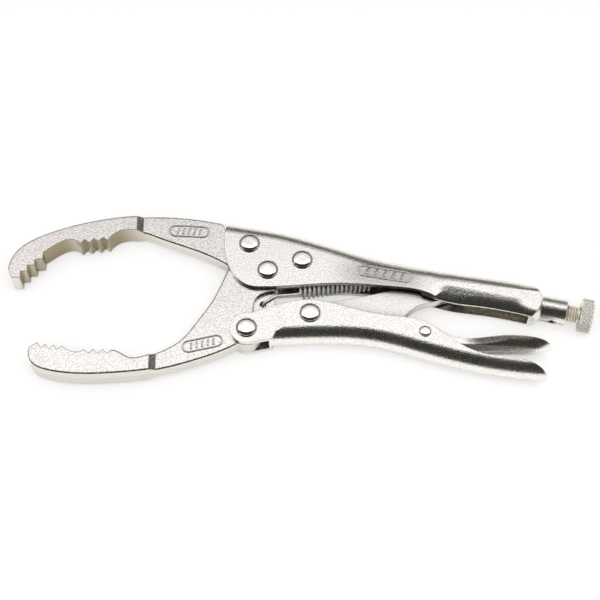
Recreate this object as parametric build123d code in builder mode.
# Locking oil-filter pliers, modelled piece by piece in millimetres.
#
# The pliers lie on their side. +X runs from the jaws to the adjusting knob, +Y from the lower
# handle to the upper handle, and +Z out of the side that faces up. Everything is drawn about
# the middle of the thickness, from a drawing origin that is moved by origin_x and origin_y so
# that the part's own origin lies under the centre of the whole.
from build123d import *
import os
from math import cos, radians, sin

os.makedirs("parts", exist_ok=True)

# ---------------------------------------------------------------- placement
origin_x = -0.215
origin_y = -0.733
half_thickness = 8.0  # rivet heads and knob reach this far from the middle

# ---------------------------------------------------------------- pivots and rivets (x, y)
jaw_pivot = (-14.4, 11.9)
jaw_rivet_front = (-22.7, 25.1)
jaw_rivet_rear = (1.0, 16.9)
handle_pivot = (-23.5, -16.2)
link_pivot = (4.4, -9.3)
lever_pivot = (54.8, -18.2)

# ---------------------------------------------------------------- running parts
running_clearance = 0.05  # radial, between a pin and the hole that turns on it
side_clearance = 0.1  # between a plate and what swings beside it

# ---------------------------------------------------------------- jaws
jaw_tip_half = 6.0
jaw_arm_half = 4.0
jaw_edge_round = 0.8
broad_wall = 140.0  # area of the smallest curved wall whose edges are rounded
ramp_run = 3.2  # length of the slope between tip and arm thickness
spring_ear_half = 2.0
spring_hole = (-16.5, -3.2)
spring_hole_radius = 1.4

# ---------------------------------------------------------------- upper handle
upper_sheet = 2.4
upper_half = 6.5
upper_spine_round = 6.3
spring_anchor = (40.0, 9.6)
spring_tab_half = 1.0

# ---------------------------------------------------------------- lower handle
lower_sheet = 2.0
lower_half = 6.7
lower_ear_half = 6.15
joggle_x = -11.0
joggle_run = 4.0
lower_spine_round = 6.4
lower_ear_radius = 7.3

# ---------------------------------------------------------------- rivets
rivet_shank = 3.0
rivet_head_radius = 4.7
lever_pin_shank = 1.8
lever_pin_head_radius = 2.7

# ---------------------------------------------------------------- link and release lever
link_half = 2.65
lever_half = 4.5
lever_tail_half = 5.4
lever_round = 5.1
lever_sheet = 1.4
lever_tail_start = 76.0
lever_tail_run = 16.0
lever_end_x = 110.8

# ---------------------------------------------------------------- adjusting screw
screw_angle = -12.0  # degrees from +X
screw_tip = (74.4, 3.0)
thread_radius = 3.9
neck_radius = 5.85
neck_start = 33.5  # distances along the screw, from its tip
neck_end = 44.6
knob_start = 50.8
knob_thickness = 5.5
knob_radius = 8.0
spigot_radius = 3.0


def side(height=0.0):
    """The drawing plane, at a height above the middle of the thickness."""
    return Plane(origin=(origin_x, origin_y, half_thickness + height))


def across():
    """The plane along the tool and its thickness: local X is X and local Y is Z."""
    return Plane(origin=(origin_x, origin_y, half_thickness), x_dir=(1, 0, 0), z_dir=(0, -1, 0))


def along_screw():
    """The plane through the screw's axis, with local X along the screw from its tip."""
    base = side()
    direction = (cos(radians(screw_angle)), sin(radians(screw_angle)), 0)
    return Plane(origin=base.from_local_coords(Vector(*screw_tip, 0)), x_dir=direction, z_dir=(0, 0, 1))


def across_screw(distance):
    """The plane square to the screw, at a distance along it from its tip."""
    base = along_screw()
    return Plane(origin=base.from_local_coords(Vector(distance, 0, 0)), z_dir=base.x_dir)


screw_axis = Axis(along_screw().origin, along_screw().x_dir)


def save(part, name):
    """Name a finished piece and write its file."""
    part.label = name
    export_step(part, f"parts/{name}.step")


def slab(outline_x, half_near, half_far, run):
    """Corner points, across the thickness, of a bar that changes from one half width to another."""
    far = 160
    return [
        (-far, half_near),
        (outline_x, half_near),
        (outline_x + run, half_far),
        (far, half_far),
        (far, -half_far),
        (outline_x + run, -half_far),
        (outline_x, -half_near),
        (-far, -half_near),
    ]


def broad_wall_edges(part):
    """The long edges of a jaw's broad curved walls, on both of its faces."""
    walls = [face for face in part.faces().filter_by(GeomType.EXTRUSION) if face.area > broad_wall]
    edges = ShapeList(edge for wall in walls for edge in wall.edges().filter_by(GeomType.BSPLINE))
    return edges.filter_by(lambda edge: abs(edge.center().Z - half_thickness) > jaw_arm_half - 0.5)


# ================================================================ upper jaw
stair_teeth = [(-124.7, 8.3), (-124.8, 11.4), (-121.9, 11.5), (-122.0, 14.4), (-118.8, 14.5)]
stair_teeth += [(-118.9, 17.2), (-115.4, 17.6), (-115.3, 20.9)]
upper_tooth_start = (-98.9, 25.2)
tooth_pitch = 4.1
tooth_depth = 1.9
upper_tooth_count = 3
boss_radius = 8.7
boss_gap = 0.4

with BuildPart() as upper_jaw:
    with BuildSketch(side()):
        with BuildLine():
            crown = Spline((-130.6, 13.0), (-126.8, 22.4), (-114.2, 30.5), (-95.5, 36.5), (-78.2, 39.4),
                           (-59.6, 39.9), (-36.2, 36.7))
            tip = Polyline((-128.6, 8.3), stair_teeth[0], *stair_teeth[1:])
            Line(crown @ 0, tip @ 0)
            hollow = Spline(tip @ 1, (-108.6, 25.6), (-103.0, 27.4), upper_tooth_start)
            teeth = [upper_tooth_start]
            for index in range(upper_tooth_count):
                x = upper_tooth_start[0] + index * tooth_pitch
                y = upper_tooth_start[1] + index * 0.55
                teeth += [(x + 1.9, y + tooth_depth + 0.3), (x + tooth_pitch, y + 0.55)]
            saw = Polyline(*teeth)
            throat = Spline(saw @ 1, (-84.0, 30.2), (-80.4, 32.0), (-74.0, 32.3), (-66.5, 30.1))
            arm = Spline(throat @ 1, (-53.9, 25.2), (-39.9, 19.5), (-32.6, 15.3))
            Polyline(arm @ 1, (-22.0, 15.3), (-14.4, 21.0), (-6.5, 17.0), (-4.2, 12.0), (7.0, 11.6),
                     (7.4, 21.4), (-6.8, 26.2), (-21.6, 29.2), (-33.2, 31.2), (-34.4, 35.4), crown @ 1)
        make_face()
    extrude(amount=jaw_tip_half, both=True)
    with BuildSketch(across()):
        Polygon(*slab(-74.0, jaw_tip_half, jaw_arm_half, ramp_run), align=None)
    extrude(amount=80, both=True, mode=Mode.INTERSECT)
    with BuildSketch(side()):
        with Locations(jaw_pivot):
            Circle(boss_radius + boss_gap)
        with Locations(jaw_rivet_front, jaw_rivet_rear):
            Circle(rivet_shank)
    extrude(amount=20, both=True, mode=Mode.SUBTRACT)
    fillet(broad_wall_edges(upper_jaw), jaw_edge_round)
save(upper_jaw.part, "upper_jaw")

# ================================================================ lower jaw
with BuildPart() as lower_jaw:
    with BuildSketch(side()):
        with BuildLine():
            belly = Spline((-118.8, -27.6), (-116.4, -33.2), (-108.0, -36.7), (-93.5, -38.1), (-78.0, -37.4),
                           (-62.3, -35.4), (-46.2, -31.0), (-34.0, -26.4), (-27.2, -22.9))
            saw_points = [(-118.2, -25.2), (-114.7, -23.0)]
            for index in range(3):
                saw_points += [(-113.1 + 3.6 * index, -25.6 - 0.35 * index),
                               (-111.2 + 3.6 * index, -23.9 - 0.35 * index)]
            nose = Polyline(belly @ 0, *saw_points)
            bite = Spline(nose @ 1, (-101.6, -26.4), (-97.6, -27.6), (-94.2, -26.2))
            teeth = [bite @ 1]
            for index in range(3):
                x = -94.2 + 4.1 * index
                teeth += [(x + 1.9, -28.2), (x + 4.1, -26.4)]
            saw = Polyline(*teeth)
            throat = Spline(saw @ 1, (-79.0, -27.2), (-74.6, -29.7), (-70.1, -29.6), (-63.5, -27.4),
                            (-52.8, -21.2), (-45.2, -11.5), (-39.2, -2.3), (-35.9, 4.7), (-32.7, 12.6))
            Polyline(throat @ 1, (-27.0, 13.4), (-22.0, 12.8), (-20.0, 5.2), (-8.6, 5.5), (-11.1, 2.4),
                     (-11.1, -8.4), (-16.2, -17.4), (-18.0, -21.4), (-23.5, -23.4), belly @ 1)
        make_face()
        with Locations(jaw_pivot):
            Circle(boss_radius)
        with Locations(handle_pivot):
            Circle(7.4)
    extrude(amount=jaw_tip_half, both=True)
    with BuildSketch(across()):
        Polygon(*slab(-66.0, jaw_tip_half, jaw_arm_half, ramp_run), align=None)
    extrude(amount=80, both=True, mode=Mode.INTERSECT)
    for face in (1, -1):
        with BuildSketch(side(face * spring_ear_half)):
            with BuildLine():
                edge = Spline((-20.7, -8.2), (-20.7, -3.8), (-19.3, -0.6), (-16.5, 1.4), (-10.0, 2.6))
                Polyline(edge @ 1, (-6.0, 2.6), (-6.0, -8.2), edge @ 0)
            make_face()
        extrude(amount=face * 10, mode=Mode.SUBTRACT)
    with BuildSketch(side()):
        with Locations(jaw_pivot, handle_pivot):
            Circle(rivet_shank + running_clearance)
        with Locations(spring_hole):
            Circle(spring_hole_radius)
    extrude(amount=20, both=True, mode=Mode.SUBTRACT)
    fillet(broad_wall_edges(lower_jaw), jaw_edge_round)
save(lower_jaw.part, "lower_jaw")

# ================================================================ upper handle
spine_points = [(-33.5, 37.2), (-21.6, 35.2), (-6.8, 32.2), (8.0, 27.8), (18.1, 24.5), (31.1, 20.3),
                (41.3, 17.8), (61.9, 13.6), (84.7, 9.9), (110.0, 5.0)]
roof_points = [(x, y - upper_sheet) for x, y in spine_points]
front_lip = [(-33.5, 31.7), (-34.0, 27.0), (-32.6, 16.4), (-27.6, 7.4), (-18.4, 3.6)]
plate_edge = [(-18.4, 3.6), (-1.2, 4.3), (17.8, 5.4), (40.7, 3.8), (53.4, 1.9), (59.9, -1.0)]
barrel_edge = [(59.9, -1.6), (66.9, -3.6), (80.2, -5.6), (93.6, -8.1), (108.0, -12.0)]
barrel_curl = 6.4
barrel_curl_lost = 2.4  # how far the curled edges would reach past their cut, if they met

# the hollow between the handle's two walls
with BuildPart() as upper_hollow:
    with BuildSketch(side()):
        with BuildLine():
            roof = Spline((-45.0, 36.6), *roof_points[1:-1], (98.0, 5.4))
            Polyline(roof @ 1, (101.0, -8.0), (101.0, -30.0), (-45.0, -30.0), roof @ 0)
        make_face()
    extrude(amount=upper_half - upper_sheet, both=True)
    fillet(upper_hollow.edges().filter_by(GeomType.BSPLINE), upper_spine_round - upper_sheet)

# the rear barrel, whose walls curl in towards their cut lower edges
with BuildPart() as barrel:
    with BuildSketch(side()):
        with BuildLine():
            keel = Spline((54.0, -2.4), *[(x, y - barrel_curl_lost) for x, y in barrel_edge])
            Polyline(keel @ 1, (108.0, 1.0), (54.0, 8.0), keel @ 0)
        make_face()
    extrude(amount=upper_half, both=True)
    fillet(barrel.edges().filter_by(GeomType.BSPLINE), barrel_curl)
    with BuildSketch(side()):
        with BuildLine():
            cut = Spline((54.0, 0.6), *barrel_edge)
            Polyline(cut @ 1, (108.0, 20.0), (54.0, 20.0), cut @ 0)
        make_face()
    extrude(amount=upper_half, both=True, mode=Mode.INTERSECT)

# what is cut away around the shoulder, where the barrel closes in on the neck
with BuildPart() as shoulder_waste:
    with BuildSketch(along_screw()):
        with BuildLine():
            shoulder = Spline((25.0, 10.6), (28.5, 9.5), (31.5, 7.9), (neck_start, neck_radius))
            Polyline(shoulder @ 1, (neck_end, neck_radius), (neck_end, 30.0), (25.0, 30.0), shoulder @ 0)
        make_face()
    revolve(axis=screw_axis)

neck_bottom = along_screw().from_local_coords(Vector((neck_start + neck_end) / 2, -neck_radius, 0))
seam_width = 0.5
seam_depth = 1.3
notch_half_length = 2.7
notch_half_width = 1.7

badge_centre = (37.8, 9.9)
badge_length = 24.8
badge_height = 5.4
badge_angle = -10.0
badge_relief = 0.35
badge_border = 0.7

with BuildPart() as upper_handle:
    with BuildSketch(side()):
        with BuildLine():
            spine = Spline(*spine_points)
            lip = Spline(*front_lip)
            Line(spine @ 0, lip @ 0)
            plate = Spline(*plate_edge)
            Polyline(plate @ 1, (66.0, 3.4), (110.0, -3.4), spine @ 1)
        make_face()
    extrude(amount=upper_half, both=True)
    fillet(upper_handle.edges().filter_by(GeomType.BSPLINE).group_by(Axis.Y)[-1], upper_spine_round)
    add(barrel.part)
    add(shoulder_waste.part, mode=Mode.SUBTRACT)
    add(upper_hollow.part, mode=Mode.SUBTRACT)
    with BuildSketch(across_screw(neck_start - 4)):
        Circle(neck_radius)
    extrude(amount=neck_end - neck_start + 4)
    with BuildSketch(across_screw(neck_start - 12)):
        Circle(thread_radius + running_clearance)
    extrude(amount=neck_end - neck_start + 13, mode=Mode.SUBTRACT)
    # the seam along the underside of the neck, and the notch in it
    with BuildSketch(Plane(origin=neck_bottom, x_dir=along_screw().x_dir, z_dir=-along_screw().y_dir)):
        Rectangle(neck_end - neck_start + 2, seam_width)
        Polygon((-notch_half_length, 0), (0, notch_half_width), (notch_half_length, 0), (0, -notch_half_width),
                align=None)
    extrude(amount=-seam_depth, mode=Mode.SUBTRACT)
    # the tab that the spring's rear end hooks into
    with BuildSketch(side()):
        Polygon((37.6, 16.6), (42.4, 15.6), (42.0, 7.8), (38.0, 7.8), align=None)
        with Locations(spring_anchor):
            Circle(spring_hole_radius, mode=Mode.SUBTRACT)
    extrude(amount=spring_tab_half, both=True)
    with BuildSketch(side()):
        with Locations(jaw_pivot, jaw_rivet_front, jaw_rivet_rear):
            Circle(rivet_shank)
    extrude(amount=20, both=True, mode=Mode.SUBTRACT)
    with BuildSketch(side(upper_half)):
        with Locations(Location(badge_centre, badge_angle)):
            SlotOverall(badge_length, badge_height)
            SlotOverall(badge_length - 2 * badge_border, badge_height - 2 * badge_border, mode=Mode.SUBTRACT)
    extrude(amount=badge_relief)
save(upper_handle.part, "upper_handle")

# ================================================================ lower handle
belly_points = [(-13.6, -22.0), (0.0, -21.1), (14.0, -20.9), (30.5, -22.1), (50.6, -27.3), (78.9, -34.9),
                (95.0, -37.5), (107.5, -38.6)]
rim_points = [(-21.5, -9.0), (-11.2, -5.6), (3.5, -2.9), (20.0, -6.1), (34.8, -9.8), (46.8, -11.3),
              (54.0, -12.9), (61.7, -17.7), (71.1, -24.7), (80.0, -28.6), (99.6, -32.1), (104.6, -35.0),
              (107.4, -38.3)]

ear_gap = lower_ear_half - lower_sheet
ear_heel = [(-8.5, -14.0), (-12.5, -21.4), (-22.0, -23.3)]  # lower rear corner of the ears
trough_start = -13.6

# the hollow of the trough, narrowed in front of the joggle
with BuildPart() as lower_hollow:
    with BuildSketch(side()):
        with BuildLine():
            floor_points = [(x, y + lower_sheet) for x, y in belly_points]
            floor = Spline((-40.0, -22.4), *floor_points[1:-1], (120.0, -36.8))
            Polyline(floor @ 1, (120.0, 10.0), (-40.0, 10.0), floor @ 0)
        make_face()
    extrude(amount=lower_half - lower_sheet, both=True)
    fillet(lower_hollow.edges().filter_by(GeomType.BSPLINE), lower_spine_round - lower_sheet)
    with BuildSketch(across()):
        Polygon(*slab(joggle_x, ear_gap, lower_half - lower_sheet, joggle_run), align=None)
    extrude(amount=80, both=True, mode=Mode.INTERSECT)

with BuildPart() as lower_handle:
    with BuildSketch(side()):
        with BuildLine():
            belly = Spline((-40.0, -23.4), *belly_points[1:-1], (120.0, -38.8))
            Polyline(belly @ 1, (120.0, 10.0), (-40.0, 10.0), belly @ 0)
        make_face()
    extrude(amount=lower_half, both=True)
    fillet(lower_handle.edges().filter_by(GeomType.BSPLINE), lower_spine_round)
    with BuildSketch(side()):
        with BuildLine():
            rim = Spline(*rim_points)
            Polyline(rim @ 1, (107.4, -50.0), (-22.0, -50.0), (-22.0, -23.3), rim @ 0)
        make_face()
        Polygon((trough_start, 10.0), (120.0, 10.0), (120.0, -60.0), (trough_start, -60.0), align=None,
                mode=Mode.INTERSECT)
    extrude(amount=20, both=True, mode=Mode.INTERSECT)
    with BuildSketch(across()):
        Polygon(*slab(joggle_x, lower_ear_half, lower_half, joggle_run), align=None)
    extrude(amount=80, both=True, mode=Mode.INTERSECT)
    # the flat ears that hold the lower jaw
    with BuildSketch(side()):
        with BuildLine():
            rim = Spline(*rim_points)
            Polyline(rim @ 1, (107.4, -50.0), (-22.0, -50.0), (-22.0, -23.3), rim @ 0)
        make_face()
        Polygon((-40.0, 10.0), (-8.5, 10.0), *ear_heel, (-40.0, -23.3), align=None, mode=Mode.INTERSECT)
        with Locations(handle_pivot):
            Circle(lower_ear_radius)
    extrude(amount=lower_ear_half, both=True)
    add(lower_hollow.part, mode=Mode.SUBTRACT)
    with BuildSketch(side()):
        Polygon((-40.0, 0.0), (trough_start, 0.0), (trough_start, -40.0), (-40.0, -40.0), align=None)
    extrude(amount=ear_gap, both=True, mode=Mode.SUBTRACT)
    with BuildSketch(side()):
        with Locations(handle_pivot, link_pivot):
            Circle(rivet_shank)
        with Locations(lever_pivot):
            Circle(lever_pin_shank)
    extrude(amount=20, both=True, mode=Mode.SUBTRACT)
save(lower_handle.part, "lower_handle")

# ================================================================ toggle link
with BuildPart() as toggle_link:
    with BuildSketch(side()):
        with BuildLine():
            top = Spline((4.4, -2.7), (11.6, -2.4), (33.5, 1.7), (60.0, 6.8), (68.6, 7.4))
            tip = RadiusArc(top @ 1, (68.0, 0.8), 3.4, short_sagitta=False)
            Spline(tip @ 1, (62.2, -1.4), (56.4, -2.8), (51.7, -4.4), (46.0, -9.4), (41.0, -14.2),
                   (34.0, -15.6), (14.0, -15.0), (4.4, -15.9))
            Line((4.4, -15.9), top @ 0)
        make_face()
        with Locations(link_pivot):
            Circle(6.6)
            Circle(rivet_shank + running_clearance, mode=Mode.SUBTRACT)
    extrude(amount=link_half, both=True)
save(toggle_link.part, "toggle_link")

# ================================================================ release lever
def spoon_plan(inset):
    """The lever's plan: a bar that widens to a round-ended tail."""
    half = lever_half - inset
    tail_half = lever_tail_half - inset
    length = 200.0
    with BuildSketch(across()) as plan:
        Polygon(*slab(lever_tail_start, half, tail_half, lever_tail_run), align=None)
        with Locations((lever_end_x - inset - length / 2, 0)):
            SlotOverall(length, 2 * tail_half, mode=Mode.INTERSECT)
    return plan.sketch


with BuildPart() as lever_hollow:
    with BuildSketch(side()):
        with BuildLine():
            floor = Spline((39.0, -18.6), (45.0, -19.6), (55.0, -21.8), (62.0, -23.0), (80.0, -24.3),
                           (96.0, -24.8), (104.0, -24.4), (108.4, -22.6))
            Polyline(floor @ 1, (108.4, -10.0), (39.0, -10.0), floor @ 0)
        make_face()
    extrude(amount=lever_tail_half - lever_sheet, both=True)
    fillet(lever_hollow.edges().filter_by(GeomType.BSPLINE), lever_round - lever_sheet)
    extrude(spoon_plan(lever_sheet), amount=80, both=True, mode=Mode.INTERSECT)

with BuildPart() as release_lever:
    with BuildSketch(side()):
        with BuildLine():
            keel = Spline((30.0, -18.8), (35.6, -19.6), (45.0, -21.1), (55.0, -23.3), (62.0, -24.5),
                          (80.0, -25.8), (96.0, -26.2), (105.6, -25.7), (110.6, -23.6), (114.0, -20.6))
            Polyline(keel @ 1, (114.0, -5.0), (30.0, -5.0), keel @ 0)
        make_face()
    extrude(amount=lever_tail_half, both=True)
    fillet(release_lever.edges().filter_by(GeomType.BSPLINE), lever_round)
    with BuildSketch(side()):
        with BuildLine():
            rim = Spline((35.6, -19.6), (40.0, -17.5), (50.0, -14.7), (56.0, -14.4), (61.0, -16.6),
                         (67.8, -19.7), (73.2, -20.5), (86.0, -19.6), (96.9, -19.5), (106.4, -21.4),
                         (110.6, -23.6))
            Polyline(rim @ 1, (110.6, -40.0), (35.6, -40.0), rim @ 0)
        make_face()
    extrude(amount=20, both=True, mode=Mode.INTERSECT)
    extrude(spoon_plan(0), amount=80, both=True, mode=Mode.INTERSECT)
    add(lever_hollow.part, mode=Mode.SUBTRACT)
    with BuildSketch(side()):
        with Locations(lever_pivot):
            Circle(lever_pin_shank + running_clearance)
    extrude(amount=20, both=True, mode=Mode.SUBTRACT)
save(release_lever.part, "release_lever")

# ================================================================ rivets and pins
def rivet(name, centre, shank, head, base, top):
    """A rivet headed on both sides: a flat crown, a round shoulder and a steep rim."""
    crown = 0.35 * head
    shoulder = 0.88 * head
    rim_height = 0.5 * (top - base)
    at = Plane(origin=side().from_local_coords(Vector(*centre, 0)), x_dir=(1, 0, 0), z_dir=(0, -1, 0))
    with BuildPart() as piece:
        with BuildSketch(at):
            with BuildLine():
                dome = EllipticalCenterArc((crown, base + rim_height), shoulder - crown, top - base - rim_height,
                                           start_angle=0, arc_size=90)
                Polyline(dome @ 0, (head, base), (shank, base), (shank, 0), (0, 0), (0, top), dome @ 1)
            make_face()
        revolve(axis=Axis(at.origin, (0, 0, 1)))
        mirror(about=side())
    save(piece.part, name)


low_base = lower_ear_half
rivet("jaw_pivot_rivet", jaw_pivot, rivet_shank, rivet_head_radius, upper_half, half_thickness)
rivet("upper_jaw_rivet_front", jaw_rivet_front, rivet_shank, rivet_head_radius, upper_half, half_thickness)
rivet("upper_jaw_rivet_rear", jaw_rivet_rear, rivet_shank, rivet_head_radius, upper_half, half_thickness)
rivet("handle_pivot_rivet", handle_pivot, rivet_shank, rivet_head_radius, low_base, low_base + 1.5)
rivet("link_pivot_rivet", link_pivot, rivet_shank, rivet_head_radius, lower_half, half_thickness)
rivet("release_lever_pin", lever_pivot, lever_pin_shank, lever_pin_head_radius, lower_half, lower_half + 0.8)

# ================================================================ adjusting screw and knob
with BuildPart() as adjusting_screw:
    with BuildSketch(along_screw()):
        with BuildLine():
            Polyline((0, 0), (0, 2.4), (1.6, thread_radius), (knob_start, thread_radius),
                     (knob_start, spigot_radius), (knob_start + knob_thickness, spigot_radius),
                     (knob_start + knob_thickness, 0), (0, 0))
        make_face()
    revolve(axis=screw_axis)
save(adjusting_screw.part, "adjusting_screw")

with BuildPart() as adjusting_knob:
    with BuildSketch(across_screw(knob_start + side_clearance)):
        Circle(knob_radius)
        Circle(spigot_radius + running_clearance, mode=Mode.SUBTRACT)
    extrude(amount=knob_thickness - side_clearance)
    chamfer(adjusting_knob.edges().filter_by(GeomType.CIRCLE).group_by(SortBy.RADIUS)[-1], 0.5)
save(adjusting_knob.part, "adjusting_knob")

# ================================================================ return spring
coil_front = (-1.2, 3.3)
coil_rear = (31.8, 8.2)
coil_radius = 3.3
wire_radius = 0.55
hook_height = 2.75

with BuildPart() as return_spring:
    start = side().from_local_coords(Vector(*coil_front, 0))
    end = side().from_local_coords(Vector(*coil_rear, 0))
    with BuildSketch(Plane(origin=start, z_dir=end - start)):
        Circle(coil_radius)
    extrude(amount=(end - start).length)
    front = [(0.5, 2.0, 2.4), (-9.8, 0.9, hook_height), (*spring_hole, hook_height), (*spring_hole, -hook_height)]
    rear = [(30.5, 9.2, 1.9), (36.4, 9.6, 1.9), (*spring_anchor, 1.9), (*spring_anchor, -1.9)]
    for route in (front, rear):
        points = [side().from_local_coords(Vector(*point)) for point in route]
        with BuildLine() as hook:
            FilletPolyline(*points, radius=0.8)
        with BuildSketch(Plane(origin=hook.line @ 0, z_dir=hook.line % 0)):
            Circle(wire_radius)
        sweep(path=hook.line)
save(return_spring.part, "return_spring")
